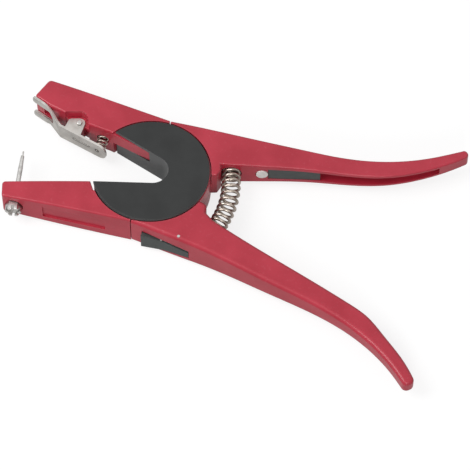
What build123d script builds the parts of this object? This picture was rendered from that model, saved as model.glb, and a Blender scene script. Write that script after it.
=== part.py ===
from build123d import *
import os
from math import asin, cos, degrees, pi, radians, sin, sqrt

os.makedirs("parts", exist_ok=True)

# Levels along the pivot axis, above the surface that the tool lies on
HUB_THICK = 21.5
PLATE_THICK = 1.8
ARM_THICK = 20.2
SIDE_GAP = 0.3
MID = HUB_THICK / 2
PLATE_UNDER = HUB_THICK - PLATE_THICK
HIGH_WEB = (MID + SIDE_GAP, PLATE_UNDER - SIDE_GAP)
LOW_WEB = (PLATE_THICK, MID)
DEEP = 200.0
LEVEL_SHARE = 0.9
SAME_LENGTH = 0.01

# The round hub, its boss and the throat between the jaws
HUB_RADIUS = 32.3
RIM_GAP = 0.9
WEB_GAP = 0.4
NOTCH_GAP = 0.3
BOSS_RADIUS = 12.5
BOSS_FIT = 0.06
THROAT_WALL = 3.8
THROAT_RADIUS = BOSS_RADIUS - THROAT_WALL
THROAT_CENTRE = (0.9, 0.4)
THROAT_HIGH_SIDE = 145.0
THROAT_LOW_SIDE = 178.0
HUB_EDGE_ROUND = 0.5
RING_RADIUS = HUB_RADIUS + RIM_GAP
WEB_RADIUS = RING_RADIUS - WEB_GAP
NOTCH_RADIUS = HUB_RADIUS - NOTCH_GAP
BORE_RADIUS = BOSS_RADIUS + BOSS_FIT
CORE_OVERLAP = 0.4
CORE_RADIUS = BOSS_RADIUS - CORE_OVERLAP

# Where the two arms meet with the handles open
SEAM_HIGH = 72.5
SEAM_LOW = -108.4
SEAM_HIGH_GAP = 0.8
SEAM_LOW_GAP = 0.5
SEAM_HIGH_WALL = 1.7
SEAM_LOW_WALL = 0.9
SEAM_HIGH_HALF = degrees(SEAM_HIGH_GAP / 2 / RING_RADIUS)
SEAM_LOW_HALF = degrees(SEAM_LOW_GAP / 2 / RING_RADIUS)
WEB_LAP = 8.0
HEEL_LAP = 1.0
NOTCH_END = -190.0
FILL_END = 170.0
FILL_GAP = 1.5
CLOSING_ANGLE = 30.0
CLOSING_GAP = 0.4

# Screws that hold the two hub halves together
SCREW_ANGLES = (-100.0, -30.0, 50.0)
SCREW_INSET = 1.3
SCREW_CIRCLE = BOSS_RADIUS - SCREW_INSET
SCREW_RADIUS = 0.8
SCREW_HEAD_RADIUS = 1.2
SCREW_HEAD_HEIGHT = 1.2
SCREW_SHORTFALL = 5.5
SCREW_LENGTH = HUB_THICK - SCREW_SHORTFALL
SCREW_SLOT_WIDTH = 0.4
SCREW_SLOT_DEPTH = 0.5

# Upper jaw, seen from above
UPPER_TIP = (-57.6, 61.8)
UPPER_NOSE = (-65.6, 51.2)
UPPER_MOUTH_EDGE = [(-56.6, 44.2), (-35.2, 31.2)]
UPPER_MOUTH_ROUND = 12.0
UPPER_MOUTH_OUT = 1.8
UPPER_WEB_SIDE = 150.3
UPPER_WEB_INSET = 1.45
UPPER_TIP_CORNER = 2.4
UPPER_NOSE_CORNER = 1.5
UPPER_TIP_THICK = 17.0
UPPER_TAPER_START = -28.0
UPPER_TAPER_PAST_NOSE = 4.0

# Lower jaw, seen from above
LOWER_TIP_X = -81.5
LOWER_MOUTH_Y = -5.0
LOWER_OUTER_Y = -14.6
LOWER_MOUTH_OUT = 0.5
LOWER_MOUTH_ANGLE = -169.3
LOWER_HEEL_OUT = 0.4
LOWER_HEEL_ANGLE = -158.1
LOWER_TIP_CORNER = 1.8
LOWER_TIP_THICK = 15.6
LOWER_TAPER_START = -15.0

# Upper handle, seen from above
UPPER_BACK = [(93.0, 14.1), (124.0, 9.7), (148.2, 11.3)]
UPPER_BACK_END = (173.6, 17.7)
UPPER_BACK_HEADING = (1, 0.3)
UPPER_INNER_END = (176.4, 14.1)
UPPER_INNER = [(148.0, 2.9), (127.0, -0.5), (93.0, 2.2)]
UPPER_INNER_HEADINGS = [(-1, -0.55), (-1, 0.04)]
UPPER_INNER_Y = 5.2
LUG_REACH = 2.9
LUG_Y = -2.2
LUG_SIDE = (2.3, 3.6)
LUG_CORNER = 1.0
UPPER_BACK_CORNER = 1.9
UPPER_INNER_CORNER = 2.4

# Lower handle, seen from above
LOWER_FLAT_END = (21.6, -46.8)
LOWER_BACK = [(62.0, -68.1), (104.6, -93.9), (128.2, -119.4)]
LOWER_BACK_END = (135.0, -131.0)
LOWER_BACK_HEADING = (0.55, -1)
LOWER_INNER_END = (141.0, -128.6)
LOWER_INNER = [(134.0, -113.6), (125.1, -100.2), (116.5, -88.6), (107.0, -80.8), (60.2, -48.9)]
LOWER_INNER_HEADINGS = [(-0.35, 1), (-1.4, 1)]
LOWER_INNER_OUT = 13.0
LOWER_INNER_ANGLE = -41.9
LOWER_WAIST_OUT = 6.8
LOWER_WAIST_ANGLE = -40.6
LOWER_ROOT_OUT = 4.0
LOWER_ROOT_CORNER = 2.4
LOWER_GRIP_CORNER = 3.0

# Thickness of the handles along their length
UPPER_THIN_START = 15.0
LOWER_THIN_START = 8.0
UPPER_GRIP_THICK = [(49.0, 17.5), (91.0, 13.4), (134.0, 10.2), (178.0, 8.4)]
LOWER_GRIP_THICK = [(42.0, 17.0), (75.0, 13.8), (110.0, 10.8), (144.0, 8.8)]
JAW_EDGE_ROUND = 1.0
UPPER_EDGE_ROUND = 1.2
LOWER_EDGE_ROUND = 2.2

# Channels that lighten the handles on their inner sides
CHANNEL_WALL = 3.4
CHANNEL_START = 64.2
CHANNEL_END = 159.0
CHANNEL_START_HEIGHT = 9.2
CHANNEL_END_HEIGHT = 5.0

# Dark bar in the upper handle's channel and the rivet at its end
INSERT_LENGTH = 28.6
INSERT_DEPTH = 5.0
INSERT_SETBACK = 0.8
INSERT_FIT = 0.05
RIVET_X = 61.0
RIVET_HEAD_RADIUS = 3.25
RIVET_HEAD_HEIGHT = 2.4
RIVET_SHANK_RADIUS = 1.6
RIVET_LENGTH = 9.0
RIVET_HOLE_RADIUS = 3.7

# Main spring between the handles
SPRING_OUT = 10.7
SPRING_SEAT_DEPTH = 5.0
SPRING_HOLE_RADIUS = 5.9
SPRING_RADIUS = 5.5
SPRING_WIRE = 1.7
SPRING_TURNS = 13
COIL_STEPS = 8
SPRING_BEND_Y = -2.0
SPRING_FOOT_OUT = 14.2
SPRING_FOOT_ANGLE = -45.2

# Ear clip on the upper jaw
CLIP_SHEET = 1.2
CLIP_GAP = 0.3
CLIP_STRIP_WIDTH = 11.2
CLIP_FORK_WIDTH = 17.6
CLIP_FREE_END = (-25.4, 17.5)
CLIP_BEND = (-51.3, 33.4)
CLIP_FORK_REACH = 0.5
CLIP_BEND_RADIUS = 2.5
CLIP_SLOT_WIDTH = 8.4
CLIP_PAD_FLAT = 0.9
CLIP_NECK = (-60.0, -52.0)
CLIP_PRONG_ROUND = 1.6
CLIP_SLOT_START = (-55.2, 39.8)
CLIP_PIN = (-40.4, 34.7)
CLIP_PIN_RADIUS = 1.1
CLIP_PIN_FIT = 0.05
CLIP_HEAD_RADIUS = 1.6
CLIP_HEAD_HEIGHT = 0.8
CLIP_HEAD_ROUND = 0.5
EAR_RADIUS = 3.1
EAR_SHOULDER = (-45.0, 36.2)
EAR_SHOULDER_RADIUS = 1.5
EAR_FOOT = [(-48.6, 31.9), (-39.8, 26.5)]
CLIP_POCKET = [(-48.6, 39.9), (-39.0, 39.7), (-36.6, 38.0), (-35.2, 35.1)]
TONGUE_RADIUS = 3.0
CLIP_POCKET_CORNER = 1.2

# Small spring that shuts the clip
CLIP_SPRING_SEAT = (-30.0, 20.3)
CLIP_SPRING_RADIUS = 3.3
CLIP_SPRING_WIRE = 0.9
CLIP_SPRING_TURNS = 5
CLIP_SPRING_BENT = 6.6
CLIP_SPRING_DEPTH = 3.8
CLIP_SPRING_TURN = 22.0
CLIP_SPRING_HOLE = 3.6

# Needle, its bore in the lower jaw and the nut behind it
NEEDLE_LEAN = 6.0
NEEDLE_X = -73.9
NEEDLE_RADIUS = 1.3
NEEDLE_COLLAR_RADIUS = 1.6
NEEDLE_COLLAR_OUT = 0.6
NEEDLE_OUT = 24.9
NEEDLE_STRAIGHT = 13.0
NEEDLE_SHOULDER = 21.4
NEEDLE_SHOULDER_RADIUS = 0.95
NEEDLE_TIP_RADIUS = 0.5
NEEDLE_TAIL_OUT = 1.8
NEEDLE_FLANGE_RADIUS = 2.4
NEEDLE_FLANGE_HEIGHT = 1.6
NEEDLE_FLANGE_DEPTH = 3.2
NEEDLE_FIT = 0.04
NUT_SIDES = 6
NUT_THREAD_RADIUS = 3.0
NUT_ACROSS_FLATS = 8.0
NUT_HEAD_HEIGHT = 5.6
NUT_PROUD = 4.1
NUT_SEAT_RADIUS = 5.2
NUT_SLOT_WIDTH = 1.5
NUT_SLOT_DEPTH = 2.2
NUT_SLOT_CUTS = 3
NUT_CROWN_BORE = 2.6
NUT_CHAMFER = 0.4
NEEDLE_RELIEF_WIDTH = 6.6
NEEDLE_RELIEF_SIDE = 1.8
NEEDLE_RELIEF_END = 132.6

# Bare panel sunk into the outer side of the lower jaw
PANEL_START_X = -59.4
PANEL_END_X = -24.8
PANEL_HEIGHT = 9.4
PANEL_DEPTH = 1.0

# Latch lever in the window of the lower handle
WINDOW_START_X = -4.8
WINDOW_END_X = 20.9
WINDOW_LEVEL = 8.2
WINDOW_START_HEIGHT = 13.0
WINDOW_END_HEIGHT = 6.8
WINDOW_START_DEPTH = 2.2
WINDOW_END_DEPTH = 5.0
WINDOW_OPEN = 6.0
LEVER_GAP = 0.3
LEVER_HEADROOM = 1.8
LEVER_THICK = 2.2
LEVER_PROUD = 1.9
LEVER_BEND = 13.5
LEVER_PIN_FOOT = 2.4
LEVER_PIN_RUN = 21.56425
LEVER_PIN_DEPTH = 1.74994
LEVER_PIN_RADIUS = 0.8
LEVER_PIN_FIT = 0.04
LEVER_EYE_RADIUS = 1.8
STOP_RUN = 11.6
STOP_LEVEL = 12.5
STOP_RADIUS = 0.6
STOP_LENGTH = 8.0


def polar(radius, angle):
    """The point at a radius and an angle about the pivot."""
    return (radius * cos(radians(angle)), radius * sin(radians(angle)))


def along(start, end, x):
    """The point at x on the line through two points."""
    share = (x - start[0]) / (end[0] - start[0])
    return (x, start[1] + share * (end[1] - start[1]))


def sector(inner, outer, start, end):
    """A ring sector about the pivot, from one angle round to another."""
    with BuildSketch() as ring:
        with BuildLine():
            CenterArc((0, 0), outer, start, end - start)
            Line(polar(outer, end), polar(inner, end))
            CenterArc((0, 0), inner, end, start - end)
            Line(polar(inner, start), polar(outer, start))
        make_face()
    return ring.sketch


def side_view(start, stations, flat_end):
    """One end of an arm from the side: flat by the hub, then thinner to its tip."""
    top = [(start, MID + ARM_THICK / 2)]
    top += [(x, MID + thick / 2) for x, thick in stations]
    under = [(x, HUB_THICK - z) for x, z in top]
    run = top[-1][0] - top[-2][0]
    fall = top[-1][1] - top[-2][1]
    # A single station ends a curve, which falls twice as steeply there as its chord
    if len(stations) == 1:
        fall = 2 * fall
    outward = 1 if run > 0 else -1
    with BuildSketch(Plane.XZ) as view:
        with BuildLine():
            Spline(*top, tangents=[(outward, 0), (run, fall)])
            Line(top[-1], under[-1])
            Spline(*under, tangents=[(outward, 0), (run, -fall)])
            Polyline(under[0], (flat_end, under[0][1]), (flat_end, top[0][1]), top[0])
        make_face()
    return view.sketch


def throat():
    """The gap between the jaws: a round end that opens into a wedge."""
    low_start = THROAT_LOW_SIDE + 90
    high_start = THROAT_HIGH_SIDE - 90
    centre = Vector(*THROAT_CENTRE)
    low = centre + Vector(*polar(THROAT_RADIUS, low_start))
    high = centre + Vector(*polar(THROAT_RADIUS, high_start))
    far_low = low + Vector(*polar(DEEP, THROAT_LOW_SIDE))
    far_high = high + Vector(*polar(DEEP, THROAT_HIGH_SIDE))
    with BuildSketch() as gap:
        with BuildLine():
            Polyline(high, far_high, far_low, low, high)
        make_face()
        with Locations(centre):
            Circle(THROAT_RADIUS)
    return gap.sketch


def rim_edges(block, inside):
    """Edges of the top and the underside that lie further out than a radius."""
    flat = block.faces().filter_by(lambda face: abs(face.normal_at().Z) > LEVEL_SHARE)
    return flat.edges().filter_by(lambda edge: Vector(edge.center().X, edge.center().Y).length > inside)


def coil(start, heading, straight, bend_radius, length, radius, turns):
    """Points of a coil round an axis that runs straight and then bends round an arc."""
    first_side = heading.rotate(Axis.Z, 90)
    points = []
    count = turns * COIL_STEPS
    for number in range(count + 1):
        run = length * number / count
        bend = max(run - straight, 0) / bend_radius
        side = first_side.rotate(Axis.Z, -degrees(bend))
        centre = start + heading * min(run, straight) + (side - first_side) * bend_radius
        turn = 2 * pi * number / COIL_STEPS
        points.append(centre + side * (radius * cos(turn)) + Vector(0, 0, radius * sin(turn)))
    return points


# Outlines that both arms share
SEAM_HIGH_RADIUS = RING_RADIUS + SEAM_HIGH_WALL
SEAM_LOW_RADIUS = RING_RADIUS + SEAM_LOW_WALL
LUG_ANGLE = degrees(asin(LUG_Y / RING_RADIUS))
ROOT_ANGLE = LUG_ANGLE - CLOSING_ANGLE - degrees(CLOSING_GAP / RING_RADIUS)
MOUTH_DIRECTION = Vector(*polar(1, UPPER_WEB_SIDE - 180))
MOUTH_FOOT = Vector(*polar(BOSS_RADIUS - UPPER_WEB_INSET, UPPER_WEB_SIDE - 90))
MOUTH_INNER = MOUTH_FOOT - MOUTH_DIRECTION * sqrt(CORE_RADIUS**2 - MOUTH_FOOT.length**2)
MOUTH_REACH = sqrt((RING_RADIUS + UPPER_MOUTH_OUT) ** 2 - MOUTH_FOOT.length**2)
UPPER_MOUTH_END = MOUTH_FOOT - MOUTH_DIRECTION * MOUTH_REACH
UPPER_SEAM_JAW = polar(SEAM_HIGH_RADIUS, SEAM_HIGH + SEAM_HIGH_HALF)
UPPER_SEAM_HANDLE = polar(SEAM_HIGH_RADIUS, SEAM_HIGH - SEAM_HIGH_HALF)
LOWER_SEAM_HANDLE = polar(SEAM_LOW_RADIUS, SEAM_LOW + SEAM_LOW_HALF)
LOWER_SEAM_JAW = polar(SEAM_LOW_RADIUS, SEAM_LOW - SEAM_LOW_HALF)
LOWER_MOUTH_END = polar(RING_RADIUS + LOWER_MOUTH_OUT, LOWER_MOUTH_ANGLE)
LOWER_HEEL = polar(RING_RADIUS + LOWER_HEEL_OUT, LOWER_HEEL_ANGLE)
LOWER_ROOT = polar(RING_RADIUS + LOWER_ROOT_OUT, ROOT_ANGLE)
LOWER_WAIST = polar(RING_RADIUS + LOWER_WAIST_OUT, LOWER_WAIST_ANGLE)
LOWER_INNER_START = polar(RING_RADIUS + LOWER_INNER_OUT, LOWER_INNER_ANGLE)
LUG_END = (RING_RADIUS + LUG_REACH, LUG_Y)
LUG_SHOULDER = (LUG_END[0] + LUG_SIDE[0], LUG_Y + LUG_SIDE[1])
UPPER_INNER_START = (LUG_SHOULDER[0], UPPER_INNER_Y)

# Upper jaw
with BuildPart() as upper_jaw:
    with BuildSketch() as plan:
        with BuildLine():
            Polyline(
                polar(CORE_RADIUS, SEAM_HIGH + SEAM_HIGH_HALF),
                UPPER_SEAM_JAW,
                UPPER_TIP,
                UPPER_NOSE,
                *UPPER_MOUTH_EDGE,
                UPPER_MOUTH_END,
                MOUTH_INNER,
                close=True,
            )
        make_face()
        Circle(BORE_RADIUS, mode=Mode.SUBTRACT)
        fillet(plan.vertices().sort_by_distance(UPPER_TIP)[0], UPPER_TIP_CORNER)
        fillet(plan.vertices().sort_by_distance(UPPER_NOSE)[0], UPPER_NOSE_CORNER)
        for bend in UPPER_MOUTH_EDGE:
            fillet(plan.vertices().sort_by_distance(bend)[0], UPPER_MOUTH_ROUND)
    extrude(amount=HUB_THICK)
    taper_end = UPPER_NOSE[0] - UPPER_TAPER_PAST_NOSE
    side = side_view(UPPER_TAPER_START, [(taper_end, UPPER_TIP_THICK)], RING_RADIUS)
    extrude(side, amount=DEEP, both=True, mode=Mode.INTERSECT)
    mouth_wall = upper_jaw.faces().sort_by_distance((MOUTH_INNER + UPPER_MOUTH_END) / 2 + Vector(0, 0, MID))[0]
    mouth_edges = mouth_wall.edges().group_by(Axis.Z)
    fillet(rim_edges(upper_jaw.part, RING_RADIUS) + mouth_edges[0] + mouth_edges[-1], JAW_EDGE_ROUND)

# Lower handle
with BuildPart() as lower_handle:
    with BuildSketch() as plan:
        with BuildLine():
            flat = Line(LOWER_SEAM_HANDLE, LOWER_FLAT_END)
            Spline(LOWER_FLAT_END, *LOWER_BACK, LOWER_BACK_END, tangents=[flat % 1, LOWER_BACK_HEADING])
            Line(LOWER_BACK_END, LOWER_INNER_END)
            Spline(LOWER_INNER_END, *LOWER_INNER, LOWER_INNER_START, tangents=LOWER_INNER_HEADINGS)
            Polyline(
                LOWER_INNER_START,
                LOWER_WAIST,
                LOWER_ROOT,
                polar(RING_RADIUS, ROOT_ANGLE),
                polar(CORE_RADIUS, ROOT_ANGLE),
                polar(CORE_RADIUS, SEAM_LOW + SEAM_LOW_HALF),
                LOWER_SEAM_HANDLE,
            )
        make_face()
        Circle(BORE_RADIUS, mode=Mode.SUBTRACT)
        for end in (LOWER_BACK_END, LOWER_INNER_END):
            fillet(plan.vertices().sort_by_distance(end)[0], LOWER_GRIP_CORNER)
        fillet(plan.vertices().sort_by_distance(LOWER_ROOT)[0], LOWER_ROOT_CORNER)
    extrude(amount=HUB_THICK)
    side = side_view(LOWER_THIN_START, LOWER_GRIP_THICK, -RING_RADIUS)
    extrude(side, amount=DEEP, both=True, mode=Mode.INTERSECT)
    fillet(rim_edges(lower_handle.part, RING_RADIUS), LOWER_EDGE_ROUND)

# Lower jaw
with BuildPart() as lower_jaw:
    with BuildSketch() as plan:
        with BuildLine():
            Polyline(
                polar(CORE_RADIUS, SEAM_LOW - SEAM_LOW_HALF),
                LOWER_SEAM_JAW,
                (LOWER_TIP_X, LOWER_OUTER_Y),
                (LOWER_TIP_X, LOWER_MOUTH_Y),
                LOWER_MOUTH_END,
                LOWER_HEEL,
                polar(CORE_RADIUS, LOWER_HEEL_ANGLE),
                close=True,
            )
        make_face()
        Circle(BORE_RADIUS, mode=Mode.SUBTRACT)
        fillet(plan.vertices().group_by(Axis.X)[0], LOWER_TIP_CORNER)
    extrude(amount=HUB_THICK)
    side = side_view(LOWER_TAPER_START, [(LOWER_TIP_X, LOWER_TIP_THICK)], RING_RADIUS)
    extrude(side, amount=DEEP, both=True, mode=Mode.INTERSECT)
    fillet(rim_edges(lower_jaw.part, RING_RADIUS), JAW_EDGE_ROUND)

# Upper handle
with BuildPart() as upper_handle:
    with BuildSketch() as plan:
        with BuildLine():
            back = Line(UPPER_SEAM_HANDLE, UPPER_BACK[0])
            Spline(*UPPER_BACK, UPPER_BACK_END, tangents=[back % 1, UPPER_BACK_HEADING])
            Line(UPPER_BACK_END, UPPER_INNER_END)
            Spline(UPPER_INNER_END, *UPPER_INNER, UPPER_INNER_START, tangents=UPPER_INNER_HEADINGS)
            Polyline(
                UPPER_INNER_START,
                LUG_SHOULDER,
                LUG_END,
                polar(RING_RADIUS, LUG_ANGLE),
                polar(CORE_RADIUS, LUG_ANGLE),
                polar(CORE_RADIUS, SEAM_HIGH - SEAM_HIGH_HALF),
                UPPER_SEAM_HANDLE,
            )
        make_face()
        Circle(BORE_RADIUS, mode=Mode.SUBTRACT)
        fillet(plan.vertices().sort_by_distance(UPPER_BACK_END)[0], UPPER_BACK_CORNER)
        fillet(plan.vertices().sort_by_distance(UPPER_INNER_END)[0], UPPER_INNER_CORNER)
        fillet(plan.vertices().sort_by_distance(LUG_END)[0], LUG_CORNER)
    extrude(amount=HUB_THICK)
    side = side_view(UPPER_THIN_START, UPPER_GRIP_THICK, -RING_RADIUS)
    extrude(side, amount=DEEP, both=True, mode=Mode.INTERSECT)
    fillet(rim_edges(upper_handle.part, RING_RADIUS), UPPER_EDGE_ROUND)

# Points on the walls that other pieces are placed from
SPRING_X = RING_RADIUS + SPRING_OUT
SPRING_WALL_Y = along(UPPER_INNER_START, UPPER_INNER[-1], SPRING_X)[1]
RIVET_WALL_Y = along(UPPER_INNER_START, UPPER_INNER[-1], RIVET_X)[1]
SPRING_TOP = Vector(SPRING_X, SPRING_WALL_Y + SPRING_SEAT_DEPTH, MID)
SPRING_BEND = Vector(SPRING_X, SPRING_BEND_Y, MID)
SPRING_FOOT = Vector(*polar(RING_RADIUS + SPRING_FOOT_OUT, SPRING_FOOT_ANGLE), MID)
SPRING_CHORD = SPRING_FOOT - SPRING_BEND
SPRING_TURN = 2 * asin((SPRING_BEND.X - SPRING_FOOT.X) / SPRING_CHORD.length)
SPRING_BEND_RADIUS = SPRING_CHORD.length / 2 / sin(SPRING_TURN / 2)
SPRING_STRAIGHT = SPRING_TOP.Y - SPRING_BEND.Y
SPRING_LENGTH = SPRING_STRAIGHT + SPRING_BEND_RADIUS * SPRING_TURN
FOOT_DIRECTION = Vector(-sin(SPRING_TURN), -cos(SPRING_TURN))
JAW_WALL = Vector(LOWER_TIP_X, LOWER_OUTER_Y) - Vector(*LOWER_SEAM_JAW)
JAW_WALL_PLANE = Plane(
    origin=(*along((LOWER_TIP_X, LOWER_OUTER_Y), LOWER_SEAM_JAW, PANEL_START_X), MID),
    x_dir=-JAW_WALL,
    z_dir=JAW_WALL.rotate(Axis.Z, 90),
)
PANEL_LENGTH = (PANEL_END_X - PANEL_START_X) / JAW_WALL_PLANE.x_dir.X

# Window in the lower handle, seen square to its flat wall
WINDOW_START = Vector(*along(LOWER_SEAM_HANDLE, LOWER_FLAT_END, WINDOW_START_X))
WINDOW_END = Vector(*along(LOWER_SEAM_HANDLE, LOWER_FLAT_END, WINDOW_END_X))
WINDOW_RUN = WINDOW_END - WINDOW_START
WINDOW_PLANE = Plane(
    origin=(WINDOW_START.X, WINDOW_START.Y, WINDOW_LEVEL),
    x_dir=WINDOW_RUN,
    z_dir=WINDOW_RUN.rotate(Axis.Z, -90),
)
WINDOW_PLAN = Plane(origin=WINDOW_START, x_dir=WINDOW_RUN, z_dir=(0, 0, 1))
LEVER_PIN_PLACE = WINDOW_PLAN.from_local_coords(Vector(LEVER_PIN_RUN, LEVER_PIN_DEPTH))
LEVER_PIN = (LEVER_PIN_PLACE.X, LEVER_PIN_PLACE.Y)
STOP_PLANE = Plane(
    origin=(WINDOW_START + WINDOW_RUN.normalized() * STOP_RUN + Vector(0, 0, STOP_LEVEL)),
    z_dir=WINDOW_PLANE.z_dir,
)

# Needle axis, square across the lower jaw but for its small lean
NEEDLE_DIRECTION = Vector(sin(radians(NEEDLE_LEAN)), cos(radians(NEEDLE_LEAN)))
NEEDLE_MOUTH = Vector(NEEDLE_X, LOWER_MOUTH_Y, MID)
NUT_WALL_POINT = along((LOWER_TIP_X, LOWER_OUTER_Y), LOWER_SEAM_JAW, NEEDLE_X)
JAW_DEPTH = (LOWER_MOUTH_Y - NUT_WALL_POINT[1]) / cos(radians(NEEDLE_LEAN))
NEEDLE_PLANE = Plane(origin=NEEDLE_MOUTH, x_dir=(0, 0, 1), z_dir=NEEDLE_DIRECTION)
NUT_HEAD_SEAT = JAW_DEPTH - (NUT_HEAD_HEIGHT - NUT_PROUD)

# Clip sheet: its plan, from the free end to the fork, and what it is hinged on
CLIP_STRIP = Vector(*CLIP_BEND) - Vector(*CLIP_FREE_END)
CLIP_NORMAL = CLIP_STRIP.rotate(Axis.Z, -90).normalized()
JAW_FACE = Vector(*UPPER_MOUTH_EDGE[0]) - Vector(*UPPER_NOSE)
FORK_DIRECTION = -JAW_FACE.normalized()
FORK_NORMAL = FORK_DIRECTION.rotate(Axis.Z, -90)
FORK_OFFSET = FORK_NORMAL * (CLIP_GAP + CLIP_SHEET / 2)
FORK_ROOT = Vector(*UPPER_MOUTH_EDGE[0]) - FORK_OFFSET
FORK_TIP = Vector(*UPPER_NOSE) - FORK_OFFSET + FORK_DIRECTION * CLIP_FORK_REACH
EAR_LEVEL = MID + CLIP_STRIP_WIDTH / 2 - CLIP_SHEET
TONGUE_HALF = EAR_LEVEL - SIDE_GAP - MID
CLIP_SLOT_RUN = FORK_TIP - Vector(*CLIP_SLOT_START)
CLIP_SLOT_FACE = CLIP_SLOT_RUN.rotate(Axis.Z, -90)
CLIP_SPRING_FOOT = Vector(*CLIP_SPRING_SEAT, MID) + CLIP_NORMAL * (CLIP_SHEET / 2)
CLIP_SPRING_UP = CLIP_NORMAL.rotate(Axis.Z, CLIP_SPRING_TURN)
CLIP_SPRING_BEND_RADIUS = CLIP_SPRING_BENT / radians(CLIP_SPRING_TURN)
CLIP_SPRING_BEND = (CLIP_SPRING_UP - CLIP_NORMAL).rotate(Axis.Z, -90) * CLIP_SPRING_BEND_RADIUS
CLIP_SPRING_TOP = CLIP_SPRING_FOOT + CLIP_SPRING_BEND + CLIP_SPRING_UP * CLIP_SPRING_DEPTH
CLIP_SPRING_LENGTH = CLIP_SPRING_BENT + CLIP_SPRING_DEPTH

# Ring that the needle sweeps over, seen from the upper jaw
NEEDLE_SWEEP = Vector(NEEDLE_X, LOWER_MOUTH_Y) + NEEDLE_DIRECTION * NEEDLE_OUT
RELIEF_OUTER = NEEDLE_SWEEP.length + NEEDLE_RADIUS + NEEDLE_RELIEF_SIDE
RELIEF_INNER = RELIEF_OUTER - 2 * (NEEDLE_RADIUS + NEEDLE_RELIEF_SIDE)


def window(gap, headroom):
    """The window's outline on its plane, drawn in by a gap and lowered by a headroom."""
    start_half = WINDOW_START_HEIGHT / 2
    end_half = WINDOW_END_HEIGHT / 2
    end = WINDOW_RUN.length - gap
    with BuildSketch(WINDOW_PLANE) as outline:
        with BuildLine():
            Polyline(
                (gap, gap - start_half),
                (end, gap - end_half),
                (end, end_half - headroom),
                (gap, start_half - headroom),
                close=True,
            )
        make_face()
    return outline.sketch


# Channel along the inner side of the upper handle
CHANNEL_FLOOR = [along(UPPER_SEAM_HANDLE, UPPER_BACK[0], CHANNEL_START)]
CHANNEL_FLOOR += UPPER_BACK
CHANNEL_FLOOR += [along(UPPER_BACK[-1], UPPER_BACK_END, CHANNEL_END)]


def channel_side(gap):
    """The channel's outline seen square to the handle, drawn in by a gap."""
    start_half = CHANNEL_START_HEIGHT / 2 - gap
    end_half = CHANNEL_END_HEIGHT / 2 - gap
    with BuildSketch(Plane.XZ) as outline:
        with BuildLine():
            Polyline(
                (CHANNEL_START + gap, MID - start_half),
                (CHANNEL_END - gap, MID - end_half),
                (CHANNEL_END - gap, MID + end_half),
                (CHANNEL_START + gap, MID + start_half),
                close=True,
            )
        make_face()
    return outline.sketch


with BuildPart() as upper_channel:
    with BuildSketch():
        with BuildLine():
            floor = Spline(*[(x, y - CHANNEL_WALL) for x, y in CHANNEL_FLOOR])
            Polyline(floor @ 1, (CHANNEL_END, LUG_Y - ARM_THICK), (CHANNEL_START, LUG_Y - ARM_THICK), floor @ 0)
        make_face()
    extrude(amount=HUB_THICK)
    extrude(channel_side(0), amount=DEEP, both=True, mode=Mode.INTERSECT)

# Casting with the lower jaw and the upper handle
with BuildPart() as lower_jaw_arm:
    add(lower_jaw.part)
    add(upper_handle.part)
    with BuildSketch(Plane.XY.offset(LOW_WEB[1])):
        Circle(RING_RADIUS)
    extrude(amount=HUB_THICK, mode=Mode.SUBTRACT)
    with BuildSketch(Plane.XY.offset(LOW_WEB[0])):
        Circle(RING_RADIUS)
    extrude(amount=-HUB_THICK, mode=Mode.SUBTRACT)
    with BuildSketch(Plane.XY.offset(LOW_WEB[0])):
        add(sector(BORE_RADIUS, WEB_RADIUS, LOWER_HEEL_ANGLE, SEAM_HIGH - SEAM_HIGH_HALF))
        add(sector(BORE_RADIUS, NOTCH_RADIUS, NOTCH_END, LOWER_HEEL_ANGLE + HEEL_LAP))
        add(throat(), mode=Mode.SUBTRACT)
    extrude(amount=LOW_WEB[1] - LOW_WEB[0])
    add(upper_channel.part, mode=Mode.SUBTRACT)
    # Main spring's pocket, then the rivet's hole, in the handle's inner wall
    with BuildSketch(Plane(origin=SPRING_TOP, z_dir=(0, -1, 0))):
        Circle(SPRING_HOLE_RADIUS)
    extrude(amount=2 * SPRING_SEAT_DEPTH, mode=Mode.SUBTRACT)
    with Locations(Plane(origin=(RIVET_X, RIVET_WALL_Y, MID), z_dir=(0, -1, 0))):
        CounterBoreHole(RIVET_SHANK_RADIUS, RIVET_HOLE_RADIUS, RIVET_HEAD_HEIGHT, RIVET_LENGTH)
    # Stepped bore for the needle, its flange and its nut
    with BuildSketch(NEEDLE_PLANE.offset(-NUT_HEAD_SEAT)):
        Circle(NUT_SEAT_RADIUS)
    extrude(amount=-3 * NUT_HEAD_HEIGHT, mode=Mode.SUBTRACT)
    with BuildSketch(NEEDLE_PLANE.offset(-NEEDLE_FLANGE_DEPTH)):
        Circle(NUT_THREAD_RADIUS)
    extrude(amount=-JAW_DEPTH, mode=Mode.SUBTRACT)
    with BuildSketch(NEEDLE_PLANE.offset(SIDE_GAP)):
        Circle(NEEDLE_COLLAR_RADIUS + NEEDLE_FIT)
    extrude(amount=-JAW_DEPTH, mode=Mode.SUBTRACT)
    # Bare panel in the jaw's outer wall
    with BuildSketch(JAW_WALL_PLANE):
        Rectangle(PANEL_LENGTH, PANEL_HEIGHT, align=(Align.MIN, Align.CENTER))
    extrude(amount=-PANEL_DEPTH, mode=Mode.SUBTRACT)

# Pocket behind the window, deeper where the lever's tail swings in
with BuildPart() as lever_pocket:
    with BuildSketch(WINDOW_PLAN):
        with BuildLine():
            Polyline(
                (0, -WINDOW_OPEN),
                (WINDOW_RUN.length, -WINDOW_OPEN),
                (WINDOW_RUN.length, WINDOW_END_DEPTH),
                (0, WINDOW_START_DEPTH),
                close=True,
            )
        make_face()
    extrude(amount=HUB_THICK)
    extrude(window(0, 0), amount=2 * WINDOW_OPEN, both=True, mode=Mode.INTERSECT)

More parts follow.
